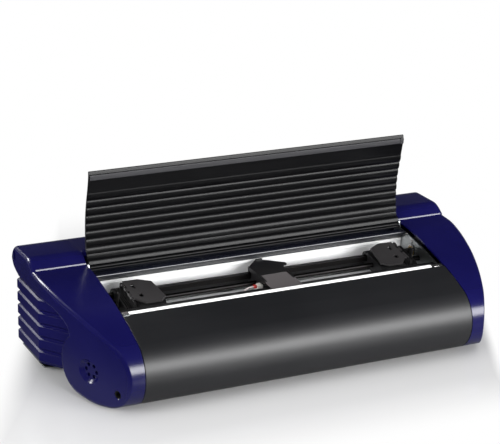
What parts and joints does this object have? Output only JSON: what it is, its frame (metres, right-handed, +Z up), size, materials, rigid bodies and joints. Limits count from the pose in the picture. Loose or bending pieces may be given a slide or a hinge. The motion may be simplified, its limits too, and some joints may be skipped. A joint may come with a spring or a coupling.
{
  "type": "braille embosser",
  "caption": "Desktop braille embosser with its paper lid open, bowed end covers, ribbed rear body, pin tractors on a square shaft, tear bar and an embossing carriage inside.",
  "frame": {"origin": "middle of the machine on the plane its rubber feet stand on", "axes": "+X along the width to the machine's right as seen in the picture, -Y towards the front cover, +Z up"},
  "size_m": [0.587, 0.2754, 0.2466],
  "materials": {
    "cover_blue": "deep indigo gloss, moulded ABS",
    "front_charcoal": "fine textured charcoal",
    "lid_black": "satin black",
    "paper_white": "white powder coat",
    "bare_aluminium": "brushed",
    "zinc_steel": "zinc plated sheet",
    "shaft_steel": "ground steel",
    "black_plastic": "matt black",
    "door_grey": "dark grey",
    "rubber": "matt black rubber",
    "brass": "turned brass",
    "board_green": "solder mask",
    "sensor_white": "white housing",
    "cable_red": "insulated lead"
  },
  "bodies": {
    "housing": {"left_end_cover": "cover_blue", "right_end_cover": "cover_blue", "front_cover": "front_charcoal", "rear_cover": "cover_blue", "rear_top_cover": "cover_blue", "base_tray": "zinc_steel", "front_left_foot": "rubber", "front_right_foot": "rubber", "rear_left_foot": "rubber", "rear_right_foot": "rubber", "left_side_plate": "zinc_steel", "right_side_plate": "zinc_steel", "lid_hinge_rail": "lid_black", "paper_chute": "paper_white", "front_paper_plate": "bare_aluminium", "paper_rail": "black_plastic", "tear_bar": "bare_aluminium", "lid_catch": "black_plastic", "tractor_guide_shaft": "shaft_steel", "left_shaft_bearing": "bare_aluminium", "right_shaft_bearing": "bare_aluminium", "feed_motor": "black_plastic", "lower_carriage_rod": "shaft_steel", "upper_carriage_rod": "shaft_steel", "anvil_bar": "zinc_steel", "carriage_belt": "rubber", "carriage_motor": "black_plastic", "main_board": "board_green", "power_supply": "zinc_steel", "connector_plate": "zinc_steel", "power_inlet": "black_plastic", "ear_socket": "black_plastic", "key_board": "board_green", "paper_sensor": "sensor_white", "sensor_lead": "cable_red"},
    "lid": {"lid": "lid_black"},
    "drive_train": {"tractor_drive_shaft": "shaft_steel", "drive_gear": "door_grey"},
    "pinion": {"feed_pinion": "brass"},
    "left_tractor": {"left_tractor_frame": "black_plastic", "left_tractor_pin_belt": "black_plastic"},
    "left_sprocket": {"left_tractor_sprocket": "bare_aluminium"},
    "left_door": {"left_tractor_door": "door_grey"},
    "left_lock_lever": {"left_tractor_lock_lever": "black_plastic"},
    "right_tractor": {"right_tractor_frame": "black_plastic", "right_tractor_pin_belt": "black_plastic"},
    "right_sprocket": {"right_tractor_sprocket": "bare_aluminium"},
    "right_door": {"right_tractor_door": "door_grey"},
    "right_lock_lever": {"right_tractor_lock_lever": "black_plastic"},
    "middle_support": {"middle_support": "black_plastic", "middle_support_tongue": "door_grey"},
    "carriage": {"carriage": "black_plastic", "embossing_head": "zinc_steel"},
    "drive_pulley": {"carriage_drive_pulley": "bare_aluminium"},
    "idler_pulley": {"carriage_idler_pulley": "bare_aluminium"},
    "power_switch": {"power_switch": "black_plastic"},
    "key_1": {"key_1": "door_grey"},
    "key_2": {"key_2": "door_grey"},
    "key_3": {"key_3": "door_grey"},
    "key_4": {"key_4": "door_grey"}
  },
  "joints": [
    {"name": "lid_hinge", "type": "hinge", "parent": "housing", "child": "lid", "pos_m": [0, 0.0545, 0.12051], "axis": [-1, 0, 0], "range_deg": [-95, 0]},
    {"name": "drive_shaft_spin", "type": "hinge", "parent": "housing", "child": "drive_train", "pos_m": [0, 0.01501, 0.0955], "axis": [1, 0, 0], "continuous": true},
    {"name": "pinion_spin", "type": "hinge", "parent": "housing", "child": "pinion", "pos_m": [0.2285, 0.01501, 0.0722], "axis": [1, 0, 0], "continuous": true},
    {"name": "left_tractor_slide", "type": "slide", "parent": "housing", "child": "left_tractor", "axis": [1, 0, 0], "range_m": [-0.01, 0.08]},
    {"name": "left_sprocket_spin", "type": "hinge", "parent": "left_tractor", "child": "left_sprocket", "pos_m": [-0.18, 0.01501, 0.0955], "axis": [1, 0, 0], "continuous": true},
    {"name": "left_door_hinge", "type": "hinge", "parent": "left_tractor", "child": "left_door", "pos_m": [-0.1926, -0.00703, 0.10497], "axis": [0, -0.9806, -0.1961], "range_deg": [0, 100]},
    {"name": "left_lever_hinge", "type": "hinge", "parent": "left_tractor", "child": "left_lock_lever", "pos_m": [-0.2043, -0.00362, 0.09178], "axis": [1, 0, 0], "range_deg": [0, 50]},
    {"name": "right_tractor_slide", "type": "slide", "parent": "housing", "child": "right_tractor", "axis": [1, 0, 0], "range_m": [-0.08, 0.01]},
    {"name": "right_sprocket_spin", "type": "hinge", "parent": "right_tractor", "child": "right_sprocket", "pos_m": [0.18, 0.01501, 0.0955], "axis": [1, 0, 0], "continuous": true},
    {"name": "right_door_hinge", "type": "hinge", "parent": "right_tractor", "child": "right_door", "pos_m": [0.1926, -0.00703, 0.10497], "axis": [0, 0.9806, 0.1961], "range_deg": [0, 100]},
    {"name": "right_lever_hinge", "type": "hinge", "parent": "right_tractor", "child": "right_lock_lever", "pos_m": [0.2043, -0.00362, 0.09178], "axis": [1, 0, 0], "range_deg": [0, 50]},
    {"name": "middle_support_slide", "type": "slide", "parent": "housing", "child": "middle_support", "axis": [1, 0, 0], "range_m": [-0.004, 0.04]},
    {"name": "carriage_slide", "type": "slide", "parent": "housing", "child": "carriage", "axis": [1, 0, 0], "range_m": [0, 0.34]},
    {"name": "drive_pulley_spin", "type": "hinge", "parent": "housing", "child": "drive_pulley", "pos_m": [-0.202, -0.122, 0.047], "axis": [0, 1, 0], "continuous": true},
    {"name": "idler_pulley_spin", "type": "hinge", "parent": "housing", "child": "idler_pulley", "pos_m": [0.202, -0.122, 0.047], "axis": [0, 1, 0], "continuous": true},
    {"name": "power_switch_rock", "type": "hinge", "parent": "housing", "child": "power_switch", "pos_m": [-0.15, 0.1152, 0.071], "axis": [1, 0, 0], "range_deg": [0, 12]},
    {"name": "key_1_press", "type": "slide", "parent": "housing", "child": "key_1", "axis": [-0.9414, 0.3373, 0], "range_m": [0, 0.002], "stiffness_N_per_m": 400, "springref_m": -0.001},
    {"name": "key_2_press", "type": "slide", "parent": "housing", "child": "key_2", "axis": [-0.948, 0.3182, 0], "range_m": [0, 0.002], "stiffness_N_per_m": 400, "springref_m": -0.001},
    {"name": "key_3_press", "type": "slide", "parent": "housing", "child": "key_3", "axis": [-0.9543, 0.2988, 0], "range_m": [0, 0.002], "stiffness_N_per_m": 400, "springref_m": -0.001},
    {"name": "key_4_press", "type": "slide", "parent": "housing", "child": "key_4", "axis": [-0.9603, 0.279, 0], "range_m": [0, 0.002], "stiffness_N_per_m": 400, "springref_m": -0.001}
  ],
  "couplings": [
    {"joint": "pinion_spin", "follows": "drive_shaft_spin", "ratio": -2.8333},
    {"joint": "left_sprocket_spin", "follows": "drive_shaft_spin", "ratio": 1},
    {"joint": "right_sprocket_spin", "follows": "drive_shaft_spin", "ratio": 1},
    {"joint": "drive_pulley_spin", "follows": "carriage_slide", "rad_per_m": -128.21},
    {"joint": "idler_pulley_spin", "follows": "carriage_slide", "rad_per_m": -128.21}
  ]
}
